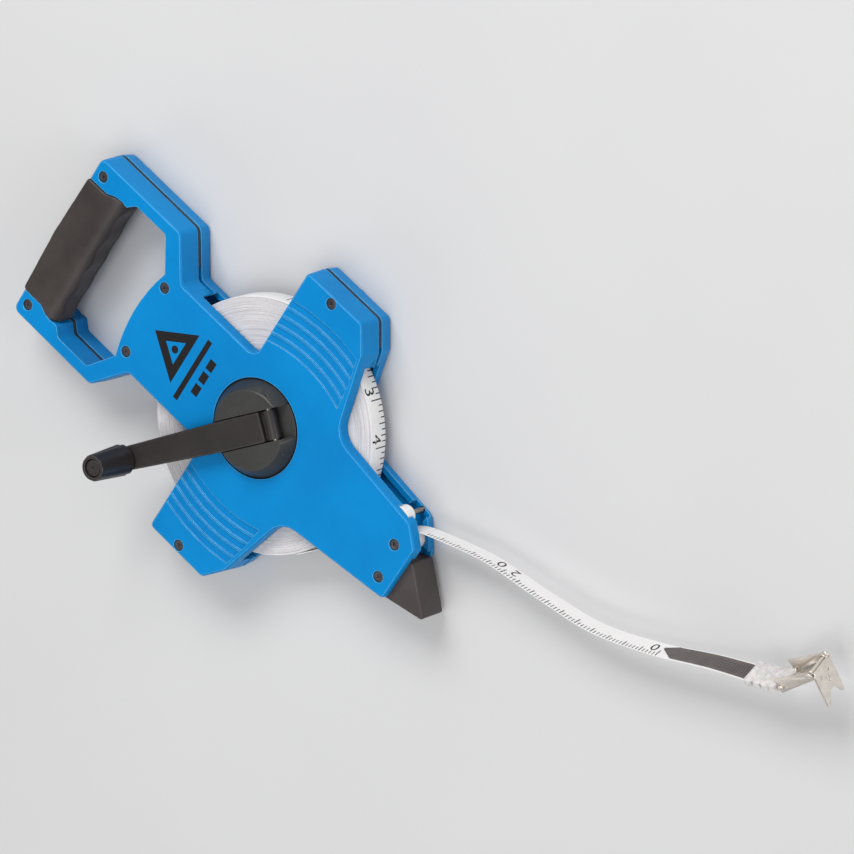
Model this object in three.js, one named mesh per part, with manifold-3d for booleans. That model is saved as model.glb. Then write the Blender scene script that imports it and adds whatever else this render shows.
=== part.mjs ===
// Surveyor's open-frame tape reel, millimetres, +Z up.
// The reel lies on the flat rear frame: the origin is the reel axis on the rear face,
// +Z runs along that axis to the crank, +X from the hand grip to the tape mouth.
import * as THREE from 'three';
import Module from 'manifold-3d';

const wasm = await Module();
wasm.setup();

// ---------------------------------------------------------------- driving dimensions
const GAP = 0.35;                 // clearance between pieces that touch or slide
const FRAME_T = 27.4;             // frame thickness, rear face to front face
const PLATE = 3.0;                // wall thickness of the two frame shells
const REAR_TOP = 9.9;             // top of the rear shell's rim
const FRONT_BOT = 12.9;           // bottom of the front shell's rim
const DRAFT = 0.9;                // walls lean out this far toward the parting plane

const TAPE_W = 13.0;              // half-inch tape
const TAPE_T = 0.4;
const PACK_R = 70.0;              // outside of the wound tape
const CORE_R = 32.0;              // spool core the tape is wound on
const PACK_Z0 = (FRAME_T - TAPE_W) / 2 + 0.2;
const PACK_Z1 = PACK_Z0 + TAPE_W;
const PACK_ROOM = 6.5;            // radial room the frame rims leave round the pack

const HUB_R = 26.5;               // crank hub where it passes the front face
const HUB_HOLE_R = HUB_R + 0.95;  // opening in the front shell
const HUB_TOP_R = HUB_R - 4.75;
const HUB_RISE = 7.0;             // hub height above the front face
const AXLE_R = 8.0;               // post moulded into the rear shell

const CRANK_ANGLE = 232.4;        // where the crank points, degrees from +X
const ARM_W = 16.4;               // width in the hub slot
const ARM_TIP_W = 13.0;
const ARM_T = 7.2;
const ARM_LIFT = 0.6;             // underside above the front face
const HINGE_R = 14.9;             // fold hinge, on the far side of the axis from the knob
const KNOB_R = 86.0;              // knob axis from the reel axis
const KNOB_L = 26.6;
const KNOB_D0 = 17.5;
const KNOB_D1 = 14.6;

const ROLLER_LOW = [102.3, 8.8];  // lower guide roller runs on a frame screw
const ROLLER_LOW_R = 5.66;
const ROLLER_UP = [95.0, 21.3];
const ROLLER_UP_R = 5.6;

const CLIP_L = 26.0;              // end clip: folded steel channel and claw
const CLIP_W = 15.6;
const CLIP_T = 0.8;
const CLIP_D0 = 8.6;
const CLIP_D1 = 5.0;
const CLAW_L = 21.2;
const CLAW_ANGLE = 105;           // claw against the channel, degrees

// ---------------------------------------------------------------- materials
const paint = (hex, rough, metal = 0) =>
  new THREE.MeshStandardMaterial({ color: hex, roughness: rough, metalness: metal });
const LOOK = {
  blue: () => paint(0x0a8cd6, 0.45),
  rubber: () => paint(0x413a3a, 0.8),
  dark: () => paint(0x342e30, 0.55),
  hub: () => paint(0x3e3e3c, 0.55),
  tape: () => paint(0xe9e6e4, 0.6),
  roller: () => paint(0xf4f4f2, 0.4),
  clear: () => paint(0xe6e4e2, 0.3),
  steel: () => paint(0xb9b4ac, 0.3, 1),
};

// ---------------------------------------------------------------- helpers
const rad = (deg) => deg * Math.PI / 180;
const group = new THREE.Group();
group.name = 'surveyor_tape_reel';

function solid(geo) {
  const g = geo.clone();
  g.deleteAttribute('uv');
  g.deleteAttribute('normal');
  const m = mergeByPosition(g);
  return new wasm.Manifold(new wasm.Mesh({ numProp: 3, vertProperties: m.pos, triVerts: m.idx }));
}

function mergeByPosition(g) {
  const p = g.getAttribute('position');
  const src = g.index ? Array.from(g.index.array) : Array.from({ length: p.count }, (_, i) => i);
  const seen = new Map();
  const pos = [];
  const to = [];
  for (let i = 0; i < p.count; i += 1) {
    const v = [p.getX(i), p.getY(i), p.getZ(i)];
    const key = v.map((c) => Math.round(c * 1e4)).join(',');
    if (!seen.has(key)) {
      seen.set(key, pos.length / 3);
      pos.push(...v);
    }
    to.push(seen.get(key));
  }
  const idx = [];
  for (let i = 0; i < src.length; i += 3) {
    const [a, b, c] = [to[src[i]], to[src[i + 1]], to[src[i + 2]]];
    if (a !== b && b !== c && a !== c) idx.push(a, b, c);
  }
  return { pos: new Float32Array(pos), idx: new Uint32Array(idx) };
}

function geometryOf(man) {
  const m = man.getMesh();
  const flat = new THREE.BufferGeometry();
  const pos = new Float32Array(m.triVerts.length * 3);
  m.triVerts.forEach((v, i) => {
    for (let k = 0; k < 3; k += 1) pos[i * 3 + k] = m.vertProperties[v * m.numProp + k];
  });
  flat.setAttribute('position', new THREE.BufferAttribute(pos, 3));
  flat.computeVertexNormals();
  return flat;
}

function add(name, shape, material) {
  const geo = shape.getMesh ? geometryOf(shape) : shape;
  const mesh = new THREE.Mesh(geo, material);
  mesh.name = name;
  group.add(mesh);
  return mesh;
}

// polygon [[x, y, radius], ...] to a polyline with rounded corners, counter-clockwise
function rounded(poly, segs = 5) {
  const out = [];
  const n = poly.length;
  poly.forEach(([x, y, r = 0], i) => {
    const a = poly[(i + n - 1) % n];
    const b = poly[(i + 1) % n];
    const u = new THREE.Vector2(a[0] - x, a[1] - y).normalize();
    const v = new THREE.Vector2(b[0] - x, b[1] - y).normalize();
    const half = Math.acos(Math.max(-1, Math.min(1, u.dot(v)))) / 2;
    if (r < 0.05 || half > 1.55) {
      out.push(new THREE.Vector2(x, y));
      return;
    }
    const cut = r / Math.tan(half);
    const mid = u.clone().add(v).normalize().multiplyScalar(r / Math.sin(half));
    const c = new THREE.Vector2(x, y).add(mid);
    const p0 = new THREE.Vector2(x, y).addScaledVector(u, cut).sub(c);
    const p1 = new THREE.Vector2(x, y).addScaledVector(v, cut).sub(c);
    let sweep = p1.angle() - p0.angle();
    if (sweep > Math.PI) sweep -= 2 * Math.PI;
    if (sweep < -Math.PI) sweep += 2 * Math.PI;
    for (let k = 0; k <= segs; k += 1) {
      const t = p0.angle() + sweep * k / segs;
      out.push(new THREE.Vector2(c.x + r * Math.cos(t), c.y + r * Math.sin(t)));
    }
  });
  return out;
}

// the same polygon moved inward by d, its corner radii following
function inset(poly, d) {
  const n = poly.length;
  return poly.map(([x, y, r = 0], i) => {
    const a = poly[(i + n - 1) % n];
    const b = poly[(i + 1) % n];
    const u = new THREE.Vector2(x - a[0], y - a[1]).normalize();
    const v = new THREE.Vector2(b[0] - x, b[1] - y).normalize();
    const nu = new THREE.Vector2(-u.y, u.x);
    const nv = new THREE.Vector2(-v.y, v.x);
    const turn = u.cross(v);
    const k = d / (1 + nu.dot(nv));
    const nr = turn > 0 ? Math.max(r - d, 0.3) : r + d;
    return [x + (nu.x + nv.x) * k, y + (nu.y + nv.y) * k, nr];
  });
}


function prism(points, z0, z1) {
  const geo = new THREE.ExtrudeGeometry(new THREE.Shape(points), { depth: z1 - z0, bevelEnabled: false });
  return solid(geo.translate(0, 0, z0));
}

function bevelled(points, z0, z1, b) {
  const geo = new THREE.ExtrudeGeometry(new THREE.Shape(points), {
    depth: z1 - z0 - 2 * b, bevelEnabled: true, bevelThickness: b, bevelSize: b,
    bevelOffset: -b, bevelSegments: 2,
  });
  return solid(geo.translate(0, 0, z0 + b));
}

// plan polygon stacked at levels [z, outward offset], capped with its own triangulation
function stacked(poly, levels, segs = 4) {
  const rings = levels.map(([z, d]) => rounded(inset(poly, -d), segs).map((v) => new THREE.Vector3(v.x, v.y, z)));
  const geo = loft(rings, false, false);
  const n = rings[0].length;
  const idx = Array.from(geo.index.array);
  const cap = (ring, base, flip) => {
    for (const [a, b, c] of THREE.ShapeUtils.triangulateShape(ring, [])) {
      idx.push(base + a, base + (flip ? c : b), base + (flip ? b : c));
    }
  };
  cap(rings[0], 0, true);
  cap(rings[rings.length - 1], n * (rings.length - 1), false);
  geo.setIndex(idx);
  return solid(geo);
}

function box(x0, x1, y0, y1, z0, z1) {
  const geo = new THREE.BoxGeometry(x1 - x0, y1 - y0, z1 - z0);
  return solid(geo.translate((x0 + x1) / 2, (y0 + y1) / 2, (z0 + z1) / 2));
}

function rod(r, x, y, z0, z1, segs = 24) {
  const geo = new THREE.CylinderGeometry(r, r, z1 - z0, segs).rotateX(Math.PI / 2);
  return solid(geo.translate(x, y, (z0 + z1) / 2));
}

function lathe(profile, segs = 48) {
  const geo = new THREE.LatheGeometry(profile.map(([r, z]) => new THREE.Vector2(r, z)), segs);
  return geo.rotateX(Math.PI / 2);
}

// stacks rings of equal point count; closed joins the last ring to the first
function loft(rings, closed = false, capped = true) {
  const n = rings[0].length;
  const pos = rings.flat().flatMap((v) => [v.x, v.y, v.z]);
  const idx = [];
  const count = closed ? rings.length : rings.length - 1;
  for (let i = 0; i < count; i += 1) {
    const a = i * n;
    const b = ((i + 1) % rings.length) * n;
    for (let j = 0; j < n; j += 1) {
      const k = (j + 1) % n;
      idx.push(a + j, a + k, b + k, a + j, b + k, b + j);
    }
  }
  if (!closed && capped) {
    for (let j = 1; j < n - 1; j += 1) {
      idx.push(0, j + 1, j);
      const e = (rings.length - 1) * n;
      idx.push(e, e + j, e + j + 1);
    }
  }
  const geo = new THREE.BufferGeometry();
  geo.setAttribute('position', new THREE.BufferAttribute(new Float32Array(pos), 3));
  geo.setIndex(idx);
  return geo;
}

const union = (list) => list.reduce((a, b) => a.add(b));
const cutAll = (body, list) => list.reduce((a, b) => a.subtract(b), body);

// ---------------------------------------------------------------- frame outline
const upperSide = [
  [113.5, 14.5, 2.5], [103, 24.5, 4], [41.7, 31.3, 14], [29.5, 77, 3], [19.5, 91, 3],
  [-22, 91, 2.5], [-22, 31.4, 6],
];
const lowerSide = [
  [-22, -31.4, 6], [-22, -91, 2.5], [19.5, -91, 3], [29.5, -77, 3], [41.7, -30, 14],
  [111.5, -20.6, 1.5], [113.5, -19, 1.5],
];
const handleSide = [
  [-80.5, 31.4, 4], [-97, 54.2, 4], [-160, 54.2, 4], [-160, -54.2, 4], [-97, -54.2, 4],
  [-80.5, -31.4, 4],
];
const outline = [...upperSide, ...handleSide, ...lowerSide];
const closeBody = [[-96.7, 31.4, 2], [-96.7, -31.4, 2]];
// the rear shell is narrower along the top of the mouth arm
const rearUpper = [[113.3, 6.6, 3], [101, 22.4, 7], [41.7, 28.1, 14], ...upperSide.slice(3)];

// hand opening: concentric arc on the body side, corner blocks on the grip side
const WINDOW_R = 96.7;
function windowPoints(grow = 0) {
  const arc = [];
  const span = 17.6;
  for (let i = 0; i <= 8; i += 1) {
    const t = rad(180 - span + 2 * span * i / 8);
    arc.push([(WINDOW_R - grow) * Math.cos(t), (WINDOW_R - grow) * Math.sin(t), 0]);
  }
  const rest = [[-104, -47.2 - grow, 3], [-127.5, -47.2 - grow, 3], [-132, -42.4, 1], [-141, -42.4, 0],
    [-141, 42.4, 0], [-132, 42.4, 1], [-127.5, 47.2 + grow, 3], [-104, 47.2 + grow, 3]];
  return rounded([...arc, ...rest].reverse(), 4);
}

// plan of the rubber grip: scalloped toward the hand opening
const SCALLOP = 18.3;
function gripPlan(grow = 0) {
  const pts = [];
  for (let i = 0; i <= 36; i += 1) {
    const y = 38 - 76 * i / 36;
    const ridge = 0.55 * (1 + Math.cos(2 * Math.PI * y / SCALLOP));
    const edge = Math.max(0, Math.abs(y) - 33) / 5;
    pts.push([-135.0 + ridge + 1.2 * edge + grow, y, 0]);
  }
  const low = [[-132.4, -41.6, 2.5], [-136, -42.6, 3], [-141.5, -41.8, 4], [-146.5, -39.5, 4]];
  const shift = ([x, y, r]) => [x, y + Math.sign(y) * grow, r];
  const high = low.map(([x, y, r]) => [x, -y, r]).reverse();
  const back = [[-160.8 - grow, -39.5 - grow, 1.5], [-162.2 - grow, 0, 0], [-160.8 - grow, 39.5 + grow, 1.5]];
  return rounded([...pts, ...low.map(shift), ...back, ...high.map(shift)].reverse(), 3);
}

// core bar inside the grip
const CORE_X0 = -157.0;
const CORE_X1 = -148.0;
const CORE_Y = 41.0;
const CORE_SINK = 2.2;

const screwSpots = [
  [-153.5, 45.8], [-153.5, -45.8], [-88.2, 22.8], [-88.2, -22.8],
  [-1.3, 87.0], [-1.3, -87.0], ROLLER_LOW, [104.7, -12.2],
];
const BOSS_R = 3.9;
const SHANK_R = 1.4;
const HEAD_R = 2.85;
const ROLLER_SCREW = 6;
const FOOT_SCREW = 7;

// tape mouth: both rims are shallow from the pack to the mouth along the upper edge
const mouthCut = () => union([
  box(58, 120, 6.3, 36, PACK_Z0 - 0.6, PACK_Z1 + 0.6),
  box(106.5, 120, -21.4, 8, PACK_Z0 - 3.7, PACK_Z1 + 3.3),
]);
const rollerRoom = () => rod(ROLLER_UP_R + 0.5, ...ROLLER_UP, PLATE, FRAME_T - PLATE, 28)
  .add(rod(ROLLER_LOW_R + 0.64, ...ROLLER_LOW, PLATE, FRAME_T - PLATE, 28));
const packRoom = (z0, z1) => rod(PACK_R + PACK_ROOM, 0, 0, z0, z1, 72);

// ---------------------------------------------------------------- front shell
function grooveCutters() {
  const list = [];
  for (const side of [1, -1]) {
    const keep = [[-30, 40], [34, 40], [31.5, 60], [26.5, 78], [-30, 78]]
      .map(([x, y]) => [x, side * y, 0]);
    const clip = prism(rounded(side > 0 ? keep : keep.reverse()), FRAME_T - 1.0, FRAME_T + 1);
    for (let i = 0; i < 5; i += 1) {
      const r0 = 78.9 + 5.62 * i;
      const r1 = r0 + 4.3;
      const pts = [];
      for (let k = 0; k <= 10; k += 1) {
        const t = rad(side * (66 + 48 * k / 10));
        pts.push(new THREE.Vector2(6 + r1 * Math.cos(t), -30 * side + r1 * Math.sin(t)));
      }
      for (let k = 10; k >= 0; k -= 1) {
        const t = rad(side * (66 + 48 * k / 10));
        pts.push(new THREE.Vector2(6 + r0 * Math.cos(t), -30 * side + r0 * Math.sin(t)));
      }
      list.push(prism(side > 0 ? pts : pts.reverse(), FRAME_T - 1.0, FRAME_T + 1).intersect(clip));
    }
  }
  return list;
}

function frontFrame() {
  const slab = stacked(outline, [[FRONT_BOT, DRAFT], [FRAME_T - 1.3, 0.2], [FRAME_T - 0.5, -0.15],
    [FRAME_T, -0.8]]);
  const body0 = [...upperSide, ...closeBody, ...lowerSide];
  const cavity = prism(rounded(inset(body0, 2.6), 4), FRONT_BOT - 1, FRAME_T - PLATE);
  const bosses = screwSpots.map(([x, y], i) => {
    const low = i === ROLLER_SCREW ? FRAME_T - PLATE - 0.2 : i === FOOT_SCREW ? PACK_Z1 + 4 : FRONT_BOT;
    return rod(BOSS_R, x, y, low, FRAME_T - 0.5, 20);
  });
  const core = box(CORE_X0, CORE_X1, -CORE_Y, CORE_Y, FRONT_BOT, FRAME_T - CORE_SINK);
  let body = slab.subtract(cavity).add(union(bosses));
  body = cutAll(body, [
    prism(windowPoints(), 0, FRAME_T + 1),
    prism(gripPlan(GAP), 0, FRAME_T + 1),
    packRoom(0, PACK_Z1 + 0.6),
    mouthCut(),
    rollerRoom(),
    rod(HUB_HOLE_R, 0, 0, 0, FRAME_T + 1, 60),
  ]);
  body = body.add(core);
  const holes = screwSpots.flatMap(([x, y]) => [
    rod(SHANK_R + GAP, x, y, 0, FRAME_T + 1, 16),
    rod(HEAD_R + GAP, x, y, FRAME_T - 2.3, FRAME_T + 1, 20),
  ]);
  const rollerSeat = rod(1.9 + 0.1, ROLLER_UP[0], ROLLER_UP[1], 10, FRAME_T - PLATE + 1.5, 16);
  return cutAll(body, [...holes, rollerSeat, ...grooveCutters()]);
}

// ---------------------------------------------------------------- rear shell
function rearFrame() {
  const plan = [...rearUpper, ...handleSide, ...lowerSide];
  const slab = stacked(plan, [[0, -1.2], [0.6, -0.4], [1.6, 0.1], [REAR_TOP, DRAFT]]);
  const body0 = [...rearUpper, ...closeBody, ...lowerSide];
  const cavity = prism(rounded(inset(body0, 2.6), 4), PLATE, REAR_TOP + 1);
  const bosses = screwSpots.map(([x, y], i) => {
    const top = i >= ROLLER_SCREW ? PACK_Z0 - 3.9 : REAR_TOP;
    return rod(BOSS_R, x, y, 0.5, top, 20);
  });
  let body = slab.subtract(cavity).add(union(bosses));
  body = cutAll(body, [
    prism(windowPoints(), -1, REAR_TOP + 1),
    prism(gripPlan(GAP), -1, REAR_TOP + 1),
    packRoom(PACK_Z0 - 0.6, REAR_TOP + 1),
    mouthCut(),
    rollerRoom(),
  ]);
  body = body.add(box(CORE_X0, CORE_X1, -CORE_Y, CORE_Y, CORE_SINK, REAR_TOP));
  body = body.add(rod(AXLE_R, 0, 0, PLATE - 0.5, PACK_Z1 + 0.2, 40));
  const holes = screwSpots.map(([x, y]) => rod(SHANK_R + GAP, x, y, 1.6, REAR_TOP + 9, 16));
  const rollerSeat = rod(2.0, ROLLER_UP[0], ROLLER_UP[1], 1.5, REAR_TOP + 1, 16);
  const axleBore = rod(2.6, 0, 0, 5.5, FRAME_T, 20);
  return cutAll(body, [...holes, rollerSeat, axleBore]);
}

add('front_frame', frontFrame(), LOOK.blue());
add('rear_frame', rearFrame(), LOOK.blue());

// ---------------------------------------------------------------- spacers between the shells
const SPACER_Z0 = REAR_TOP + GAP;
const SPACER_Z1 = FRONT_BOT - GAP;
const spacerPlan = (z0, z1) => prism(rounded(inset(outline, 0.4 - DRAFT), 4), z0, z1);

function handleSpine() {
  const bounds = box(-159, -84.5, -60, 60, 0, FRAME_T);
  const rails = spacerPlan(SPACER_Z0, SPACER_Z1).intersect(bounds);
  const centre = box(-97, -80, -21.5 + 3, 21.5 - 3, 0, FRAME_T);
  const holes = screwSpots.slice(0, 4).map(([x, y]) => rod(SHANK_R + GAP, x, y, 0, FRAME_T, 16));
  const window = prism(windowPoints(0.45), 0, FRAME_T);
  const grip = prism(gripPlan(GAP), 0, FRAME_T)
    .subtract(box(CORE_X0 + GAP, CORE_X1 - GAP, -60, 60, 0, FRAME_T));
  return cutAll(rails, [window, grip, centre, ...holes]);
}

function tipSpacer(side) {
  const strip = spacerPlan(SPACER_Z0, SPACER_Z1)
    .intersect(side > 0 ? box(-60, 60, 79, 99, 0, FRAME_T) : box(-60, 60, -99, -79, 0, FRAME_T));
  const inner = prism(rounded(inset(outline, 3.4), 4), 0, FRAME_T)
    .intersect(box(-60, 60, -84.6, 84.6, 0, FRAME_T));
  const [x, y] = screwSpots[side > 0 ? 4 : 5];
  return cutAll(strip, [inner, rod(SHANK_R + GAP, x, y, 0, FRAME_T, 16)]);
}

// ---------------------------------------------------------------- grip, foot and fixings
const GRIP_TOP = FRAME_T + 0.9;
const SEAM = FRAME_T / 2;
// the palm side is full round in front and slopes away behind the seam
function gripHalf(z0, z1, low, high) {
  const section = rounded([[-170, low, 0], [-146.5, low, 5], [-132.2, SEAM + 0.8, 3],
    [-132.2, high, 9], [-170, high, 0]], 6);
  const roll = new THREE.ExtrudeGeometry(new THREE.Shape(section), { depth: 120, bevelEnabled: false });
  const full = bevelled(gripPlan(), low, high, 0.8)
    .intersect(solid(roll.rotateX(Math.PI / 2).translate(0, 60, 0)))
    .intersect(box(-200, -100, -60, 60, z0, z1));
  const core = box(CORE_X0 - GAP, CORE_X1 + GAP, -60, 60, CORE_SINK - GAP, FRAME_T - CORE_SINK + GAP);
  return full.subtract(core);
}
add('grip_front', gripHalf(SEAM + 0.18, GRIP_TOP, 0, GRIP_TOP), LOOK.rubber());
add('grip_rear', gripHalf(0, SEAM - 0.18, 0, GRIP_TOP), LOOK.rubber());
add('handle_spine', handleSpine(), LOOK.dark());
add('tip_spacer_upper', tipSpacer(1), LOOK.dark());
add('tip_spacer_lower', tipSpacer(-1), LOOK.dark());

const FOOT_Z0 = PACK_Z0 - 3.3;
const FOOT_Z1 = PACK_Z1 + 2.9;
function groundFoot() {
  const wedge = bevelled(rounded([[107.2, -21.2, 0.8], [112.6, -20.8, 6], [138.2, -14.9, 1.4],
    [115.2, 5.9, 1.2], [107.2, 2.0, 0.8]], 3), FOOT_Z0, FOOT_Z1, 0.6);
  const root = prism(rounded([[99, -17.6, 1], [110, -17.6], [110, 1.2], [100.8, 0.8, 2]], 3),
    FOOT_Z0 + 0.3, FOOT_Z1 - 0.3);
  return wedge.add(root)
    .subtract(rod(SHANK_R + GAP, ...screwSpots[FOOT_SCREW], 0, FRAME_T, 16));
}
add('ground_foot', groundFoot(), LOOK.rubber());

screwSpots.forEach(([x, y], i) => {
  const top = FRAME_T - 0.45;
  const shank = rod(SHANK_R, x, y, 1.6 + GAP, top - 0.9, 10);
  const head = rod(HEAD_R, x, y, top - 1.5, top, 16);
  const socket = rod(1.35, x, y, top - 1.0, top + 1, 6);
  add(`frame_screw_${i + 1}`, shank.add(head).subtract(socket), LOOK.steel());
});

// ---------------------------------------------------------------- reel: core, winding, hub
add('spool_core', lathe([
  [AXLE_R + GAP, PLATE + 1], [AXLE_R + 4, PLATE + 1], [AXLE_R + 4, PACK_Z0], [CORE_R, PACK_Z0],
  [CORE_R, PACK_Z1], [AXLE_R + GAP, PACK_Z1], [AXLE_R + GAP, PLATE + 1],
]), LOOK.dark());
add('tape_winding', lathe([
  [CORE_R + GAP, PACK_Z0], [PACK_R, PACK_Z0], [PACK_R, PACK_Z1], [CORE_R + GAP, PACK_Z1],
  [CORE_R + GAP, PACK_Z0],
], 72), LOOK.tape());

const HUB_Z0 = PACK_Z1 + GAP + 0.25;
const SLOT_FLOOR = FRAME_T + 0.2;
const HUB_TOP = FRAME_T + HUB_RISE;
const SLOT_W = ARM_W + 0.9;
const ARM_Z0 = FRAME_T + ARM_LIFT;
const ARM_Z1 = ARM_Z0 + ARM_T;
const HINGE_Z = (ARM_Z0 + ARM_Z1) / 2;
const PIN_R = 1.6;
const PIN_HALF = 16.0;
const turnCrank = (geo) => geo.rotateZ(rad(CRANK_ANGLE));
const crankTurned = (man) => man.rotate([0, 0, CRANK_ANGLE]);
const crossRod = (r, x, z, half, segs = 20) => {
  const geo = new THREE.CylinderGeometry(r, r, 2 * half, segs);
  return solid(geo.translate(x, 0, z));
};

function crankHub() {
  const cone = solid(lathe([
    [0, HUB_Z0], [HUB_R + 4.1, HUB_Z0], [HUB_R + 4.1, FRAME_T - PLATE - 0.7], [HUB_R, FRAME_T - PLATE - 0.7],
    [HUB_R, FRAME_T + 0.2], [HUB_TOP_R + 0.5, HUB_TOP - 0.5], [HUB_TOP_R - 0.2, HUB_TOP], [0, HUB_TOP],
  ], 48));
  return cutAll(cone, [
    box(-40, 40, -SLOT_W / 2, SLOT_W / 2, SLOT_FLOOR, HUB_TOP + 2),
    crossRod(PIN_R + 0.3, -HINGE_R, HINGE_Z, PIN_HALF + 0.35),
    rod(2.6, 0, 0, 0, FRAME_T + 1, 20),
    rod(5.6, 0, 0, FRAME_T - 3.4, FRAME_T + 1, 28),
  ]);
}
add('crank_hub', crankTurned(crankHub()), LOOK.hub());

const axleHead = rod(5.2, 0, 0, FRAME_T - 3.0, FRAME_T - 0.2, 28);
add('axle_screw', axleHead.add(rod(2.2, 0, 0, 6.0, FRAME_T - 2, 16))
  .subtract(rod(2.2, 0, 0, FRAME_T - 1.6, FRAME_T, 6)), LOOK.steel());
add('crank_hinge_pin', turnCrank(
  new THREE.CylinderGeometry(PIN_R, PIN_R, 2 * PIN_HALF, 20).translate(-HINGE_R, 0, HINGE_Z),
), LOOK.steel());

// ---------------------------------------------------------------- folding crank and knob
const KNOB_PIN_R = 2.5;
function crankArm() {
  const plan = [[-10, -ARM_W / 2, 1], [20, -ARM_W / 2, 8], [KNOB_R, -ARM_TIP_W / 2, 1]];
  for (let i = 1; i < 10; i += 1) {
    const t = rad(-90 + 180 * i / 10);
    plan.push([KNOB_R + ARM_TIP_W / 2 * Math.cos(t), ARM_TIP_W / 2 * Math.sin(t), 0]);
  }
  plan.push([KNOB_R, ARM_TIP_W / 2, 1], [20, ARM_W / 2, 8], [-10, ARM_W / 2, 1]);
  const bar = bevelled(rounded(plan, 3), ARM_Z0, ARM_Z1, 0.7);
  const neck = box(-HINGE_R, -9.5, -ARM_W / 2 + 0.4, ARM_W / 2 - 0.4, HINGE_Z - 2.9, HINGE_Z + 0.6);
  const eye = crossRod(3.3, -HINGE_R, HINGE_Z, ARM_W / 2 - 0.4, 28);
  return cutAll(union([bar, neck, eye]), [
    crossRod(PIN_R + 0.3, -HINGE_R, HINGE_Z, ARM_W, 20),
    rod(KNOB_PIN_R + GAP, KNOB_R, 0, 0, 60, 24),
  ]);
}
add('crank_arm', crankTurned(crankArm()), LOOK.dark());

const KNOB_Z0 = ARM_Z1 + GAP;
const KNOB_Z1 = KNOB_Z0 + KNOB_L;
const KNOB_FLUTES = 9;
function knobRings() {
  const N = 36;
  const ring = (z, r, flute) => {
    const pts = [];
    for (let i = 0; i < N; i += 1) {
      const t = 2 * Math.PI * i / N;
      const rr = r - flute * Math.pow(Math.abs(Math.sin(KNOB_FLUTES * t / 2)), 6);
      pts.push(new THREE.Vector3(KNOB_R + rr * Math.cos(t), rr * Math.sin(t), z));
    }
    return pts;
  };
  const rAt = (z) => (KNOB_D0 + (KNOB_D1 - KNOB_D0) * (z - KNOB_Z0) / KNOB_L) / 2;
  const bore = KNOB_PIN_R + GAP;
  return [
    ring(KNOB_Z0, bore, 0), ring(KNOB_Z0, rAt(KNOB_Z0) - 0.8, 0),
    ring(KNOB_Z0 + 0.8, rAt(KNOB_Z0), 0.8), ring(KNOB_Z0 + 13, rAt(KNOB_Z0 + 13), 0.8),
    ring(KNOB_Z1 - 0.8, rAt(KNOB_Z1), 0.8), ring(KNOB_Z1, rAt(KNOB_Z1) - 0.6, 0),
    ring(KNOB_Z1, 5.2, 0), ring(KNOB_Z1 - 2.6, 4.9, 0), ring(KNOB_Z1 - 2.6, bore, 0),
  ];
}
add('crank_knob', turnCrank(loft(knobRings(), true)), LOOK.dark());
const pinShank = rod(KNOB_PIN_R, KNOB_R, 0, ARM_Z0 + 0.3, KNOB_Z1 - 1.0, 24);
const pinHead = rod(4.3, KNOB_R, 0, KNOB_Z1 - 2.6 + GAP, KNOB_Z1 - 0.7, 28);
add('knob_pin', crankTurned(pinShank.add(pinHead).subtract(rod(1.3, KNOB_R, 0, KNOB_Z1 - 1.4, 80, 16))),
  LOOK.dark());

// ---------------------------------------------------------------- guide rollers
// the tape leaves the pack where its straight run just clears the lower roller
const TAPE_LINE = PACK_R + GAP + TAPE_T / 2;
const rollerReach = TAPE_LINE + TAPE_T / 2 + GAP + ROLLER_LOW_R;
const leaveAngle = Math.atan2(ROLLER_LOW[1], ROLLER_LOW[0]) - Math.acos(rollerReach / Math.hypot(...ROLLER_LOW));
const leave = new THREE.Vector2(Math.cos(leaveAngle), Math.sin(leaveAngle));
const along = new THREE.Vector2(-leave.y, leave.x);
function guideRoller(x, y, r, bore) {
  const z0 = PLATE + 0.7;
  const z1 = FRAME_T - PLATE - 0.7;
  return lathe([[bore, z0], [r - 0.5, z0], [r, z0 + 0.5], [r, z1 - 0.5], [r - 0.5, z1], [bore, z1],
    [bore, z0]], 32).translate(x, y, 0);
}
// the upper guide is a pin with one flange under the front shell, clear of the tape's front edge
function guideFlange(z0, z1) {
  return lathe([[2.0, z0], [ROLLER_UP_R - 0.4, z0], [ROLLER_UP_R, z0 + 0.4], [ROLLER_UP_R, z1 - 0.4],
    [ROLLER_UP_R - 0.4, z1], [2.0, z1], [2.0, z0]], 32).translate(...ROLLER_UP, 0);
}
add('guide_flange', guideFlange(FRAME_T - PLATE - 7.2, FRAME_T - PLATE - 0.35), LOOK.roller());
add('guide_roller', guideRoller(...ROLLER_LOW, ROLLER_LOW_R, SHANK_R + GAP), LOOK.roller());
add('guide_pin', rod(1.65, ...ROLLER_UP, 1.5 + GAP, FRAME_T - PLATE + 1.5 - GAP, 16), LOOK.steel());

// ---------------------------------------------------------------- tape route
// leaves the pack on a straight run, bends over the lower roller, then hangs free
const TAPE_Z = (PACK_Z0 + PACK_Z1) / 2;
const bendAt = new THREE.Vector2(...ROLLER_LOW).dot(along);
const runPoint = (s) => new THREE.Vector3(
  leave.x * TAPE_LINE + along.x * s, leave.y * TAPE_LINE + along.y * s, TAPE_Z,
);
const inside = [runPoint(0), runPoint(20), runPoint(40), runPoint(56), runPoint(bendAt - 1),
  new THREE.Vector3(102.9, 17.7, TAPE_Z), new THREE.Vector3(107.2, 20.4, TAPE_Z),
  new THREE.Vector3(110.0, 21.8, TAPE_Z)];
const outside = [
  [110.0, 21.8, 0], [118.0, 25.2, 0.1], [127.0, 28.8, 0.2], [146.5, 35.7, 0.4], [180.8, 42.7, 1.1],
  [215.2, 51.3, 2.1], [247.7, 67.3, 3.3], [278.1, 86.6, 4.5], [304.5, 101.4, 5.4], [313.0, 106.2, 5.7],
].map(([x, y, rise]) => new THREE.Vector3(x, y, TAPE_Z + rise));
const strandCurve = new THREE.CatmullRomCurve3(inside, false, 'centripetal');
const freeCurve = new THREE.CatmullRomCurve3(outside, false, 'centripetal');
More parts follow.
